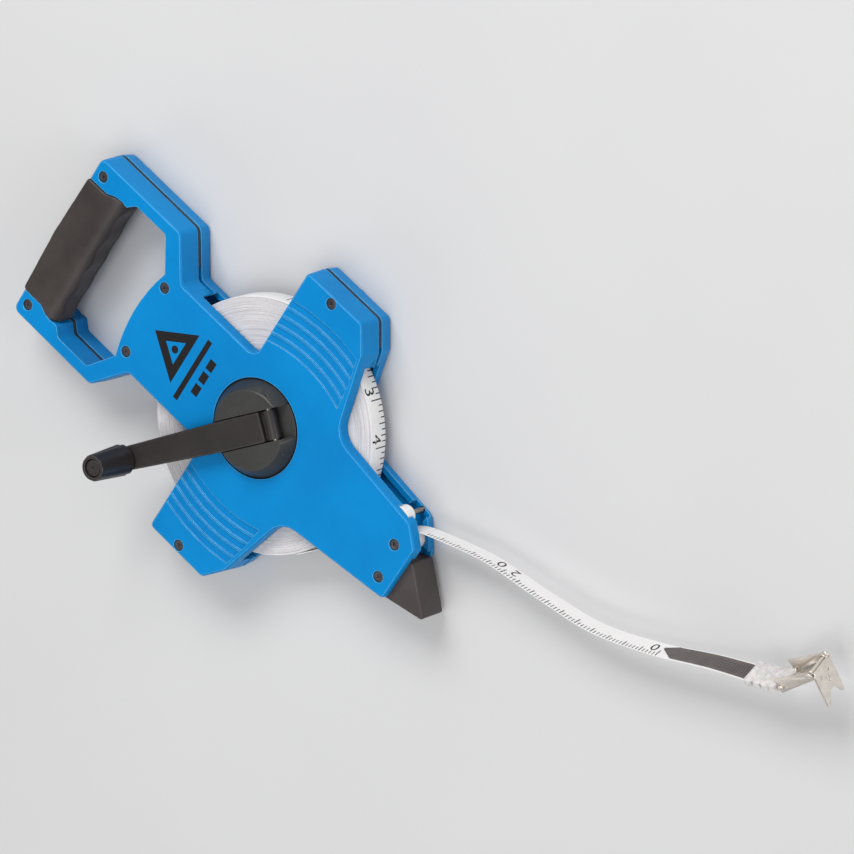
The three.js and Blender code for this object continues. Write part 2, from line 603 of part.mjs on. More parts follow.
const FREE_L = freeCurve.getLength();

// twist of the free tape about its own line, degrees, at fraction u of its length
function twistAt(u) {
  return 30 * Math.pow(Math.max(0, (u - 0.1) / 0.9), 1.6);
}

function tapeAxes(curve, u, twist) {
  const at = curve.getPointAt(u);
  const t = curve.getTangentAt(u).normalize();
  const side = new THREE.Vector3(-t.y, t.x, 0).normalize();
  const up = new THREE.Vector3().crossVectors(t, side).normalize();
  const a = rad(twist);
  const w = up.clone().multiplyScalar(Math.cos(a)).addScaledVector(side, -Math.sin(a));
  const n = new THREE.Vector3().crossVectors(t, w).normalize();
  return { at, t, w, n };
}

// rectangular or rounded section swept along a curve; size(u) gives [width, thickness]
function sweep(curve, us, twist, size, corner = 0) {
  const rings = us.map((u) => {
    const f = tapeAxes(curve, u, twist(u));
    const [w, h] = size(u);
    const c = corner * h;
    const pts = corner
      ? [[-w + c, -h], [w - c, -h], [w, -h + c], [w, h - c], [w - c, h], [-w + c, h], [-w, h - c], [-w, -h + c]]
      : [[-w, -h], [w, -h], [w, h], [-w, h]];
    return pts.map(([a, b]) => f.at.clone().addScaledVector(f.w, a / 2).addScaledVector(f.n, b / 2));
  });
  return loft(rings);
}
const steps = (u0, u1, n) => Array.from({ length: n + 1 }, (_, i) => u0 + (u1 - u0) * i / n);
const flat = () => [TAPE_W, TAPE_T];

const SLEEVE_L = 18.4;
const U_SLEEVE = 1 - SLEEVE_L / FREE_L;
const U_TAPE_END = 1 - (SLEEVE_L - 9) / FREE_L;
const joinGap = 0.35;
add('tape_strand', sweep(strandCurve, steps(0, 1 - joinGap / strandCurve.getLength(), 26), () => 0, flat),
  LOOK.tape());
add('tape_free', sweep(freeCurve, steps(0, U_TAPE_END, 40), twistAt, flat), LOOK.tape());

// ---------------------------------------------------------------- end sleeve with its loop
const endAxes = tapeAxes(freeCurve, 1, twistAt(1));
const endSide = new THREE.Vector3(-endAxes.t.y, endAxes.t.x, 0);
const EYE_OUT = 3.3;              // loop eye beyond the sleeve's end
const EYE_SIDE = 3.2;
const pivot = endAxes.at.clone().addScaledVector(endAxes.t, EYE_OUT).addScaledVector(endSide, EYE_SIDE);
const LOOP_R = 1.65;
const CLIP_PIN_R = 0.7;

function localTo(axes, origin) {
  return new THREE.Matrix4().makeBasis(axes[0], axes[1], axes[2]).setPosition(origin);
}
const loopFrame = localTo([endAxes.t, endAxes.w, endAxes.n], pivot);
const placed = (man, m4) => man.transform(m4.elements);

function endSleeve() {
  const RIBS = 4;
  const us = steps(U_SLEEVE, 1, 32);
  const size = (u) => {
    const k = (u - U_SLEEVE) / (1 - U_SLEEVE);
    const rib = Math.pow(Math.abs(Math.sin(Math.PI * RIBS * k)), 0.6);
    return [12.6 + 2.2 * rib + 1.2 * (1 - k) - 1.4 * Math.max(0, k - 0.7) / 0.3, 3.4 + 1.5 * rib];
  };
  const shell = solid(sweep(freeCurve, us, twistAt, size, 0.3));
  const room = solid(sweep(freeCurve, steps(U_SLEEVE - 0.01, U_TAPE_END + 0.6 / FREE_L, 8), twistAt,
    () => [TAPE_W - 2.4 + 3.1, TAPE_T + 0.7]));
  const bar = box(-EYE_OUT - 2.5, 0, -4.5, 4.5, -1.3, 1.6);
  const lug = box(-EYE_OUT - 2.5, -EYE_OUT - 0.3, -4.5, 4.5, -1.3, 4.6);
  const eye = crossRod(LOOP_R, 0, 0, 4.5, 20);
  const hole = crossRod(1.0, 0, 0, 9, 16);
  const tongue = placed(union([bar, lug, eye]).subtract(hole), loopFrame);
  return shell.subtract(room).add(tongue).subtract(placed(hole, loopFrame));
}
add('end_sleeve', endSleeve(), LOOK.clear());

// ---------------------------------------------------------------- end clip
// clip frame: x along the channel, y across the tape, z toward the channel's web
const CLIP_SWING = 29;
const PIVOT_X = 1.7;
const PIVOT_Z = 5.4;
const sw = rad(CLIP_SWING);
const clipX = endAxes.t.clone().multiplyScalar(Math.cos(sw)).addScaledVector(endAxes.n, -Math.sin(sw));
const clipZ = new THREE.Vector3().crossVectors(clipX, endAxes.w);
const clipOrigin = pivot.clone().addScaledVector(clipX, -PIVOT_X).addScaledVector(clipZ, -PIVOT_Z);
const clipFrame = localTo([clipX, endAxes.w, clipZ], clipOrigin);
const HINGE_X = CLIP_L - 0.6;
const HINGE_D = 2.0;
const RIVET_R = 1.2;

// prism across the clip from an x-z outline
function across(points, y0, y1) {
  const geo = new THREE.ExtrudeGeometry(
    new THREE.Shape(points.map(([x, z]) => new THREE.Vector2(x, z))),
    { depth: y1 - y0, bevelEnabled: false },
  );
  return solid(geo.rotateX(Math.PI / 2).translate(0, y1, 0));
}

function clipChannel() {
  const slope = (CLIP_D1 - CLIP_D0) / CLIP_L;
  const outer = [[0, 0], [CLIP_L + 0.4, 0], [CLIP_L + 0.8, 2.2], [CLIP_L - 0.4, CLIP_D1], [0, CLIP_D0]];
  const inner = [[-5, -3], [CLIP_L + 9, -3], [CLIP_L + 9, CLIP_D1 + slope * 9 - CLIP_T],
    [-5, CLIP_D0 - slope * 5 - CLIP_T]];
  const body = across(outer, -CLIP_W / 2, CLIP_W / 2)
    .subtract(across(inner, -CLIP_W / 2 + CLIP_T, CLIP_W / 2 - CLIP_T));
  const half = CLIP_W / 2 - CLIP_T;
  return cutAll(body, [
    box(CLIP_L - 2.4, CLIP_L + 5, -half, half, 2.5, 9),
    crossRod(RIVET_R + 0.3, HINGE_X, HINGE_D, CLIP_W, 16),
    crossRod(CLIP_PIN_R + 0.3, PIVOT_X, PIVOT_Z, CLIP_W, 16),
  ]);
}
add('clip_channel', placed(clipChannel(), clipFrame), LOOK.steel());

function clipPin() {
  const half = CLIP_W / 2 + 0.9;
  const shank = crossRod(CLIP_PIN_R, PIVOT_X, PIVOT_Z, half, 12);
  const cap = crossRod(1.5, PIVOT_X, PIVOT_Z, 0.3, 16);
  const seat = CLIP_W / 2 + 0.65;
  return union([shank, cap.translate([0, seat, 0]), cap.translate([0, -seat, 0])]);
}
add('clip_pin', placed(clipPin(), clipFrame), LOOK.steel());

function clawRivet() {
  const half = CLIP_W / 2 + 1.0;
  const cap = crossRod(2.1, HINGE_X, HINGE_D, 0.3, 20);
  const seat = CLIP_W / 2 + 0.7;
  return union([crossRod(RIVET_R, HINGE_X, HINGE_D, half, 16),
    cap.translate([0, seat, 0]), cap.translate([0, -seat, 0])]);
}
add('claw_rivet', placed(clawRivet(), clipFrame), LOOK.steel());

// claw: built lying along x from its hinge, then turned down to its working angle
function clawHook() {
  const w = CLIP_W / 2;
  const plan = [[0.6, -w, 0.8], [12, -w, 2], [CLAW_L - 1, -w + 0.2, 1], [CLAW_L, -w + 1.8, 1],
    [CLAW_L - 5, -w + 4.6, 1.5], [CLAW_L - 6.8, -1.2, 1.2], [CLAW_L - 6.8, 1.2, 1.2],
    [CLAW_L - 5, w - 4.6, 1.5], [CLAW_L, w - 1.8, 1], [CLAW_L - 1, w - 0.2, 1], [12, w, 2], [0.6, w, 0.8]];
  const sheet = 0.9;
  const z0 = -2.4 - sheet / 2;
  let body = prism(rounded(plan, 3), z0, z0 + sheet);
  const earY = w - CLIP_T - 0.35;
  for (const [y0, y1] of [[earY - 0.9, earY], [-earY, -earY + 0.9]]) {
    const strap = box(-0.9, 1.5, y0, y1, -2.4, 0);
    const disc = crossRod(1.95, 0, 0, 0.45, 20).translate([0, (y0 + y1) / 2, 0]);
    body = body.add(strap).add(disc);
  }
  body = body.add(box(-0.9, 1.6, -earY, earY, z0, z0 + sheet));
  body = cutAll(body, [
    crossRod(RIVET_R + 0.3, 0, 0, CLIP_W, 16),
    rod(0.9, 4.6, 3.4, -6, 3, 12),
    rod(0.9, 4.6, -3.4, -6, 3, 12),
    union([rod(0.9, 7.4, -1.0, -6, 3, 12), rod(0.9, 9.4, -1.0, -6, 3, 12), box(7.4, 9.4, -1.9, -0.1, -6, 3)]),
  ]);
  const turned = body.rotate([0, -CLAW_ANGLE, 0]);
  return turned.translate([HINGE_X, 0, HINGE_D]);
}
add('claw_hook', placed(clawHook(), clipFrame), LOOK.steel());

export default group;
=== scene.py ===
import math

import bmesh
import bpy
from mathutils import Matrix, Vector


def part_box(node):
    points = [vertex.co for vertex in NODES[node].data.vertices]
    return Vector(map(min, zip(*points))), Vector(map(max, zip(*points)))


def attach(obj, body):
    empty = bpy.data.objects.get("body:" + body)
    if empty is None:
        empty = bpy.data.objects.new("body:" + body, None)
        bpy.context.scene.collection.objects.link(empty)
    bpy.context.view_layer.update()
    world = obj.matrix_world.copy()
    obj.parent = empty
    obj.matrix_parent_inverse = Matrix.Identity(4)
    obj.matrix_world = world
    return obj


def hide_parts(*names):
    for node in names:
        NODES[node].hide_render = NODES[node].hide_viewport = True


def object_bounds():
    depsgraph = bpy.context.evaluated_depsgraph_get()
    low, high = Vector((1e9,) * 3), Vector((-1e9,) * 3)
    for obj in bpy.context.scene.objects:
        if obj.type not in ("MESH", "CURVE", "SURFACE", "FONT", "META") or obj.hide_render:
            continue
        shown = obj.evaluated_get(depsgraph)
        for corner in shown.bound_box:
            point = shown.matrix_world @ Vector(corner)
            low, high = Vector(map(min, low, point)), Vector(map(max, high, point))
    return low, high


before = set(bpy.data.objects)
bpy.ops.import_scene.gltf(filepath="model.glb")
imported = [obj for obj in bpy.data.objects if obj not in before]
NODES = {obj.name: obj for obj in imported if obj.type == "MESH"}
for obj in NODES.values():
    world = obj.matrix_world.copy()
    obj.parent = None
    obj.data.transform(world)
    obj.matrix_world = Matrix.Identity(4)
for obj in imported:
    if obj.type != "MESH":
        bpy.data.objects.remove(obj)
cad_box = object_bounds()
MM = 0.001

# ---------------------------------------------------------------- sizes read from the frame
SHELL_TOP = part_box("front_frame")[1].z
PACK_LOW, PACK_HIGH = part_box("tape_winding")
PACK_R = PACK_HIGH.x
PACK_Z0, PACK_Z1 = PACK_LOW.z, PACK_HIGH.z
PACK_MID = (PACK_Z0 + PACK_Z1) / 2
TAPE_W = PACK_Z1 - PACK_Z0
TAPE_T = 0.4 * MM
CORE_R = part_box("spool_core")[1].x + 0.35 * MM


# ---------------------------------------------------------------- camera
def make_camera():
    """The camera stands off the front of the reel, up and to the mouth side, turned about its own line."""
    back = Vector((0.3240, 0.4778, 0.8165)).normalized()
    down = Vector((0.6572, -0.7344, 0.1690))
    right = (-down).cross(back).normalized()
    up = back.cross(right).normalized()
    data = bpy.data.cameras.new("camera")
    data.sensor_width = 36.0
    data.lens = 199.0
    data.clip_start, data.clip_end = 0.1, 30.0
    cam = bpy.data.objects.new("camera", data)
    bpy.context.scene.collection.objects.link(cam)
    turn = Matrix((right, up, back)).transposed().to_4x4()
    cam.matrix_world = Matrix.Translation((0.8715, 1.2389, 2.0183)) @ turn
    bpy.context.scene.camera = cam


# ---------------------------------------------------------------- material building blocks
class Paint:
    """A small node-tree builder: each method adds a node and returns its output socket."""

    def __init__(self, name, colour, rough, metal=0.0, **inputs):
        self.mat = bpy.data.materials.new(name)
        self.mat.use_nodes = True
        self.tree = self.mat.node_tree
        self.tree.nodes.clear()
        out = self.tree.nodes.new("ShaderNodeOutputMaterial")
        self.bsdf = self.tree.nodes.new("ShaderNodeBsdfPrincipled")
        self.tree.links.new(self.bsdf.outputs[0], out.inputs[0])
        self.mat.diffuse_color = (*colour, 1.0)
        self.set("Base Color", (*colour, 1.0))
        self.set("Roughness", rough)
        self.set("Metallic", metal)
        for key, value in inputs.items():
            self.set(key.replace("_", " "), value)
        self.place = self.add("ShaderNodeTexCoord").outputs["Object"]

    def add(self, kind, **settings):
        node = self.tree.nodes.new(kind)
        for key, value in settings.items():
            setattr(node, key, value)
        return node

    def feed(self, socket, value):
        if isinstance(value, bpy.types.NodeSocket):
            self.tree.links.new(value, socket)
        else:
            socket.default_value = value

    def set(self, name, value):
        self.feed(self.bsdf.inputs[name], value)

    def uv(self, name):
        return self.add("ShaderNodeUVMap", uv_map=name).outputs[0]

    def stretched(self, scale, source=None):
        node = self.add("ShaderNodeMapping")
        self.feed(node.inputs["Vector"], source or self.place)
        node.inputs["Scale"].default_value = scale
        return node.outputs[0]

    def noise(self, scale, detail=3.0, source=None, rough=0.55):
        node = self.add("ShaderNodeTexNoise")
        self.feed(node.inputs["Vector"], source or self.place)
        node.inputs["Scale"].default_value = scale
        node.inputs["Detail"].default_value = detail
        node.inputs["Roughness"].default_value = rough
        return node.outputs[0]

    def cells(self, scale, source=None):
        node = self.add("ShaderNodeTexVoronoi")
        self.feed(node.inputs["Vector"], source or self.place)
        node.inputs["Scale"].default_value = scale
        return node.outputs["Distance"]

    def math(self, operation, a, b=0.0, c=0.0):
        node = self.add("ShaderNodeMath", operation=operation)
        for socket, value in zip(node.inputs, (a, b, c)):
            self.feed(socket, value)
        return node.outputs[0]

    def span(self, value, low, high, to_low=0.0, to_high=1.0):
        node = self.add("ShaderNodeMapRange")
        for socket, item in zip(node.inputs, (value, low, high, to_low, to_high)):
            self.feed(socket, item)
        return node.outputs[0]

    def mix(self, factor, a, b):
        node = self.add("ShaderNodeMix", data_type="RGBA")
        self.feed(node.inputs[0], factor)
        self.feed(node.inputs[6], (*a, 1.0) if isinstance(a, tuple) else a)
        self.feed(node.inputs[7], (*b, 1.0) if isinstance(b, tuple) else b)
        return node.outputs[2]

    def split(self, source):
        node = self.add("ShaderNodeSeparateXYZ")
        self.feed(node.inputs[0], source)
        return node.outputs

    def rounded_edges(self, radius):
        node = self.add("ShaderNodeBevel", samples=4)
        node.inputs["Radius"].default_value = radius
        return node.outputs[0]

    def edge_share(self, rounded):
        """0 on flats, rising toward 1 where the rounded normal leaves the true one."""
        flat = self.add("ShaderNodeNewGeometry").outputs["Normal"]
        node = self.add("ShaderNodeVectorMath", operation="DOT_PRODUCT")
        self.feed(node.inputs[0], rounded)
        self.feed(node.inputs[1], flat)
        return self.span(node.outputs["Value"], 1.0, 0.88)

    def bump(self, height, strength, distance, normal=None):
        node = self.add("ShaderNodeBump")
        node.inputs["Strength"].default_value = strength
        node.inputs["Distance"].default_value = distance
        self.feed(node.inputs["Height"], height)
        if normal is not None:
            self.feed(node.inputs["Normal"], normal)
        self.set("Normal", node.outputs[0])


def moulded(name, dark, base, edge, rough, grain, depth, edge_radius, **inputs):
    """Injection-moulded plastic: slow tone drift, fine spark-eroded grain, and a painted highlight: edges
    lighter in the edge colour and a little glossier.
    """
    p = Paint(name, base, rough, **inputs)
    drift = p.span(p.noise(28.0, 4.0), 0.35, 0.68)
    grain_height = p.noise(grain, 2.0)
    rounded = p.rounded_edges(edge_radius)
    # painted highlight: where the rounded normal leaves the true one, the colour goes toward the lighter edge
    # colour, broken up by noise; the same mask lowers the roughness a little
    painted_edge_highlight = p.math("MULTIPLY", p.edge_share(rounded), p.span(p.noise(160.0, 3.0), 0.3, 0.7, 0.55, 1.0))
    p.set("Base Color", p.mix(painted_edge_highlight, p.mix(drift, dark, base), edge))
    mottled = p.span(p.noise(420.0, 3.0), 0.3, 0.7, rough - 0.05, rough + 0.06)
    p.set("Roughness", p.math("SUBTRACT", mottled, p.math("MULTIPLY", painted_edge_highlight, 0.08)))
    p.bump(grain_height, depth, 0.05 * MM, rounded)
    return p.mat


def rubber(name, dark, base, edge):
    """Soft moulded rubber with a leathery grain that catches the light on its ridges, and its rounded edges
    painted lighter as a highlight.
    """
    p = Paint(name, base, 0.55)
    drift = p.span(p.noise(45.0, 4.0), 0.32, 0.68)
    rounded = p.rounded_edges(0.5 * MM)
    # painted highlight: rounded edges go toward the lighter edge colour
    painted_edge_light = p.math("MULTIPLY", p.edge_share(rounded), 0.6)
    p.set("Base Color", p.mix(painted_edge_light, p.mix(drift, dark, base), edge))
    pores = p.cells(900.0)
    fine = p.noise(2600.0, 3.0)
    p.set("Roughness", p.span(fine, 0.25, 0.75, 0.38, 0.56))
    p.bump(p.math("ADD", p.math("MULTIPLY", pores, 0.7), fine), 0.35, 0.12 * MM, rounded)
    return p.mat


def tape_cloth(name, uv_name=None):
    """Coated glass-fibre tape: plain weave seen through a white gloss coat."""
    p = Paint(name, (0.80, 0.79, 0.78), 0.36, Coat_Weight=0.15, Coat_Roughness=0.25)
    source = p.uv(uv_name) if uv_name else p.place
    axes = p.split(p.stretched((2 * math.pi / 0.9, 2 * math.pi / 0.8, 2 * math.pi / 0.8), source))
    if uv_name:
        warp, weft = axes[0], axes[1]
    else:
        warp, weft = p.math("ADD", axes[0], axes[1]), axes[2]
        warp = p.math("MULTIPLY", warp, 1000.0)
        weft = p.math("MULTIPLY", weft, 1000.0)
    weave = p.math("MULTIPLY", p.math("SINE", warp), p.math("SINE", weft))
    threads = p.span(weave, -1.0, 1.0)
    stain = p.span(p.noise(60.0, 4.0), 0.3, 0.7)
    p.set("Base Color", p.mix(threads, p.mix(stain, (0.72, 0.70, 0.70), (0.80, 0.79, 0.79)),
                              (0.86, 0.85, 0.84)))
    p.set("Roughness", p.span(weave, -1.0, 1.0, 0.5, 0.32))
    p.bump(threads, 0.35, 0.06 * MM)
    return p.mat


def tape_edges(name):
    """The wound pack's face: the edges of a hundred turns, each a little lighter or greyer."""
    p = Paint(name, (0.74, 0.72, 0.73), 0.6)
    x, y, _ = p.split(p.place)
    radius = p.math("SQRT", p.math("ADD", p.math("MULTIPLY", x, x), p.math("MULTIPLY", y, y)))
    wobble = p.math("MULTIPLY", p.noise(60.0, 3.0), 0.5 * MM)
    turns = p.math("MULTIPLY", p.math("ADD", radius, wobble), 2 * math.pi / (0.4 * MM))
    lines = p.span(p.math("SINE", turns), -1.0, 1.0)
    joined = p.add("ShaderNodeCombineXYZ")
    p.feed(joined.inputs[0], p.math("MULTIPLY", radius, 1400.0))
    p.feed(joined.inputs[1], p.math("MULTIPLY", p.math("ARCTAN2", y, x), 2.0))
    bands = p.span(p.noise(1.0, 4.0, joined.outputs[0]), 0.3, 0.72)
    fibre = p.span(p.noise(1500.0, 3.0), 0.3, 0.7)
    base = p.mix(bands, (0.56, 0.54, 0.56), (0.82, 0.80, 0.80))
    p.set("Base Color", p.mix(p.math("MULTIPLY", lines, 0.45), base, p.mix(fibre, (0.62, 0.59, 0.62),
                                                                        (0.88, 0.86, 0.86))))
    p.bump(p.math("ADD", lines, p.math("MULTIPLY", fibre, 0.8)), 0.6, 0.12 * MM)
    return p.mat


def plated(name, base, dark, rough, edge_radius=0.25 * MM):
    """Nickel plate over pressed steel: cloudy, with fine drawn lines, and its edges painted brighter as a
    highlight.
    """
    p = Paint(name, base, rough, 1.0)
    rounded = p.rounded_edges(edge_radius)
    lines = p.noise(1.0, 2.0, p.stretched((1600.0, 500.0, 300.0)))
    clouds = p.span(p.noise(220.0, 5.0), 0.3, 0.72)
    # painted highlight: the edges go toward a brighter copy of the base colour
    painted_highlight_tint = tuple(min(1.0, 1.18 * c) for c in base)
    painted_edge_light = p.math("MULTIPLY", p.edge_share(rounded), 0.8)
    p.set("Base Color", p.mix(painted_edge_light, p.mix(clouds, dark, base), painted_highlight_tint))
    p.set("Roughness", p.span(lines, 0.3, 0.7, rough - 0.05, rough + 0.08))
    p.bump(lines, 0.05, 0.02 * MM, rounded)
    return p.mat


def milky(name):
    """Clear vinyl, clouded white, as the sleeve and its loop are moulded."""
    p = Paint(name, (0.70, 0.67, 0.66), 0.3, Coat_Weight=0.3, Coat_Roughness=0.2,
              Subsurface_Weight=0.2, Subsurface_Scale=0.001)
    haze = p.span(p.noise(320.0, 4.0), 0.3, 0.7)
    p.set("Base Color", p.mix(haze, (0.55, 0.52, 0.51), (0.78, 0.75, 0.74)))
    p.set("Roughness", p.span(p.noise(900.0, 2.0), 0.3, 0.7, 0.24, 0.38))
    p.bump(p.noise(260.0, 2.0), 0.05, 0.05 * MM)
    return p.mat


def ink(name, colour, rough=0.5):
    """Screen-printed ink: slightly broken cover and a matt tooth."""
    p = Paint(name, colour, rough, Specular_IOR_Level=0.25)
    lighter = tuple(min(1.0, c * 1.8 + 0.006) for c in colour)
    p.set("Base Color", p.mix(p.span(p.noise(2600.0, 3.0), 0.5, 0.8), colour, lighter))
    p.set("Roughness", p.span(p.noise(1800.0, 2.0), 0.3, 0.7, rough - 0.08, rough + 0.1))
    p.bump(p.noise(3000.0, 2.0), 0.15, 0.02 * MM)
    return p.mat


def film(name):
    """Dark laminated leader film with a row of small pressed squares."""
    p = Paint(name, (0.085, 0.066, 0.064), 0.3, Coat_Weight=0.3, Coat_Roughness=0.15)
    along, across, _ = p.split(p.uv("tape"))
    cell_x = p.math("ABSOLUTE", p.math("SUBTRACT", p.math("FRACT", p.math("DIVIDE", along, 1.6)), 0.5))
    cell_y = p.math("ABSOLUTE", p.math("SUBTRACT", p.math("FRACT", p.math("DIVIDE", across, 1.6)), 0.5))
    square = p.math("LESS_THAN", p.math("MAXIMUM", cell_x, cell_y), 0.33)
    inner = p.math("LESS_THAN", p.math("ABSOLUTE", across), 3.9)
    pressed = p.math("MULTIPLY", square, inner)
    drift = p.span(p.noise(180.0, 3.0), 0.3, 0.7)
    p.set("Base Color", p.mix(pressed, p.mix(drift, (0.07, 0.055, 0.053), (0.12, 0.095, 0.09)),
                              (0.045, 0.033, 0.032)))
    p.bump(pressed, 0.6, 0.1 * MM)
    return p.mat


def floor_paint(name):
    p = Paint(name, (0.62, 0.62, 0.62), 0.7)
    p.set("Base Color", p.mix(p.span(p.noise(3.0, 3.0), 0.3, 0.7), (0.60, 0.60, 0.61), (0.63, 0.63, 0.63)))
    return p.mat


# The fourth colour of each moulded and rubber look is the painted highlight laid on its edges; the shell's
# light cyan stands in for the bright lines along its rims and grooves.
LOOK = {
    "shell": moulded("blue_shell", (0.000, 0.199, 0.518), (0.000, 0.228, 0.572), (0.300, 0.760, 1.000),
                     0.36, 2400.0, 0.16, 0.5 * MM, Specular_IOR_Level=0.14),
    "grip": rubber("grip_rubber", (0.024, 0.017, 0.016), (0.044, 0.033, 0.031), (0.24, 0.20, 0.19)),
    "foot": moulded("foot_plastic", (0.038, 0.028, 0.028), (0.052, 0.040, 0.040), (0.15, 0.13, 0.13),
                    0.5, 1500.0, 0.35, 0.5 * MM),
    "strip": moulded("spacer_plastic", (0.012, 0.020, 0.028), (0.018, 0.030, 0.040), (0.07, 0.06, 0.06),
                     0.55, 1500.0, 0.3, 0.3 * MM),
    "crank": moulded("crank_plastic", (0.014, 0.011, 0.010), (0.024, 0.019, 0.018), (0.16, 0.14, 0.13),
                     0.42, 1800.0, 0.22, 0.4 * MM),
    "hub": moulded("hub_plastic", (0.026, 0.026, 0.025), (0.038, 0.038, 0.037), (0.13, 0.13, 0.13),
                   0.42, 1800.0, 0.22, 0.4 * MM),
    "core": moulded("core_plastic", (0.030, 0.026, 0.026), (0.045, 0.040, 0.040), (0.1, 0.09, 0.09),
                    0.5, 1500.0, 0.3, 0.4 * MM),
    "roller": moulded("roller_plastic", (0.76, 0.76, 0.77), (0.84, 0.84, 0.84), (0.92, 0.92, 0.92),
                      0.3, 900.0, 0.1, 0.5 * MM),
    "tape": tape_cloth("tape_cloth", "tape"),
    "strand": tape_cloth("strand_cloth"),
    "edges": tape_edges("tape_edges"),
    "sleeve": milky("milky_vinyl"),
    "steel": plated("nickel_steel", (0.86, 0.81, 0.74), (0.72, 0.66, 0.59), 0.36),
    "screw": plated("screw_steel", (0.19, 0.18, 0.19), (0.09, 0.085, 0.09), 0.34),
    "pin": plated("pin_steel", (0.42, 0.36, 0.31), (0.26, 0.21, 0.18), 0.3),
    "ink": ink("black_ink", (0.007, 0.006, 0.007), 0.6),
    "film": film("leader_film"),
}


# ---------------------------------------------------------------- shading of the CAD nodes
LEVEL_FACE = 0.9995               # upright share of the normal past which a face counts as level
FLAT_BEND = 4.0                   # degrees; an edge bent less than this is part of a flat face
NOWHERE = 1.0                     # a height above the whole part, where no edge lies


def soft_shading_group(name, degrees, crisp_above):
    """Welds the split corners, drops the stored normals and smooths every edge below the angle.
    Edges higher than crisp_above bound the front face and its grooves and stay crisp, and faces that
    lie level are shaded flat, so that long thin triangles draw no streaks on them."""
    tree = bpy.data.node_groups.new(name, "GeometryNodeTree")
    tree.interface.new_socket("Geometry", in_out="INPUT", socket_type="NodeSocketGeometry")
    tree.interface.new_socket("Geometry", in_out="OUTPUT", socket_type="NodeSocketGeometry")
    add, link = tree.nodes.new, tree.links.new
    source, sink = add("NodeGroupInput"), add("NodeGroupOutput")
    drop = add("GeometryNodeRemoveAttribute")
    drop.inputs["Name"].default_value = "custom_normal"
    weld = add("GeometryNodeMergeByDistance")
    weld.inputs["Distance"].default_value = 0.002 * MM
    faces, edges = add("GeometryNodeSetShadeSmooth"), add("GeometryNodeSetShadeSmooth")
    edges.domain = "EDGE"
    angle, below = add("GeometryNodeInputMeshEdgeAngle"), add("FunctionNodeCompare")
    below.operation = "LESS_THAN"
    below.inputs[1].default_value = math.radians(degrees)
    link(angle.outputs[0], below.inputs[0])
    height, high = add("ShaderNodeSeparateXYZ"), add("FunctionNodeCompare")
    high.inputs[1].default_value = crisp_above
    link(add("GeometryNodeInputPosition").outputs[0], height.inputs[0])
    link(height.outputs[2], high.inputs[0])
    bent = add("FunctionNodeCompare")
    crisp, soft = add("FunctionNodeBooleanMath"), add("FunctionNodeBooleanMath")
    bent.inputs[1].default_value = math.radians(FLAT_BEND)
    crisp.operation, soft.operation = "AND", "NIMPLY"
    link(angle.outputs[0], bent.inputs[0])
    link(high.outputs[0], crisp.inputs[0])
    link(bent.outputs[0], crisp.inputs[1])
    link(below.outputs[0], soft.inputs[0])
    link(crisp.outputs[0], soft.inputs[1])
    link(soft.outputs[0], edges.inputs["Selection"])
    facing, level = add("ShaderNodeSeparateXYZ"), add("ShaderNodeMath")
    lies_flat = add("FunctionNodeCompare")
    level.operation, lies_flat.operation = "ABSOLUTE", "LESS_THAN"
    lies_flat.inputs[1].default_value = LEVEL_FACE
    link(add("GeometryNodeInputNormal").outputs[0], facing.inputs[0])
    link(facing.outputs[2], level.inputs[0])
    link(level.outputs[0], lies_flat.inputs[0])
    link(lies_flat.outputs[0], faces.inputs["Shade Smooth"])
    chain = [source, drop, weld, faces, edges, sink]
    for a, b in zip(chain, chain[1:]):
        link(a.outputs[0], b.inputs[0])
    return tree


SHELL_SHADING = soft_shading_group("shell_shading", 24.0, SHELL_TOP - 0.05 * MM)
PLAIN_SHADING = soft_shading_group("plain_shading", 28.0, NOWHERE)
ROUND_SHADING = soft_shading_group("round_shading", 65.0, NOWHERE)


def dress(names, look, voxel=None, smooth=0, shading=PLAIN_SHADING):
    """Gives CAD nodes their material, even shading, and where asked a rounded skin."""
    for name in names:
        piece = NODES[name]
        piece.data.materials.clear()
        piece.data.materials.append(LOOK[look])
        piece.modifiers.new("soft shading", "NODES").node_group = shading
        even = piece.modifiers.new("even normals", "WEIGHTED_NORMAL")
        even.keep_sharp, even.weight = True, 100
        if voxel:
            skin = piece.modifiers.new("skin", "REMESH")
            skin.mode, skin.voxel_size, skin.use_smooth_shade = "VOXEL", voxel, True
            ease = piece.modifiers.new("ease", "SMOOTH")
            ease.factor, ease.iterations = 0.5, smooth


# ---------------------------------------------------------------- mesh helpers
def new_mesh(name, verts, faces, looks, smooth=True):
    mesh = bpy.data.meshes.new(name)
    mesh.from_pydata(verts, [], faces)
    for look in looks:
        mesh.materials.append(LOOK[look])
    if smooth:
        mesh.shade_smooth()
    piece = bpy.data.objects.new(name, mesh)
    bpy.context.scene.collection.objects.link(piece)
    return piece


def ring_faces(rings, across, closed_rings=False):
    """Quads between rings of `across` points each, closed round each ring."""
    faces = []
    last = rings if closed_rings else rings - 1
    for i in range(last):
        for j in range(across):
            k, m = (j + 1) % across, (i + 1) % rings
            faces.append((i * across + j, i * across + k, m * across + k, m * across + j))
    return faces


def even_hash(i):
    """A repeatable value from 0 to 1 for turn number i."""
    return (math.sin(i * 12.9898) * 43758.5453) % 1.0


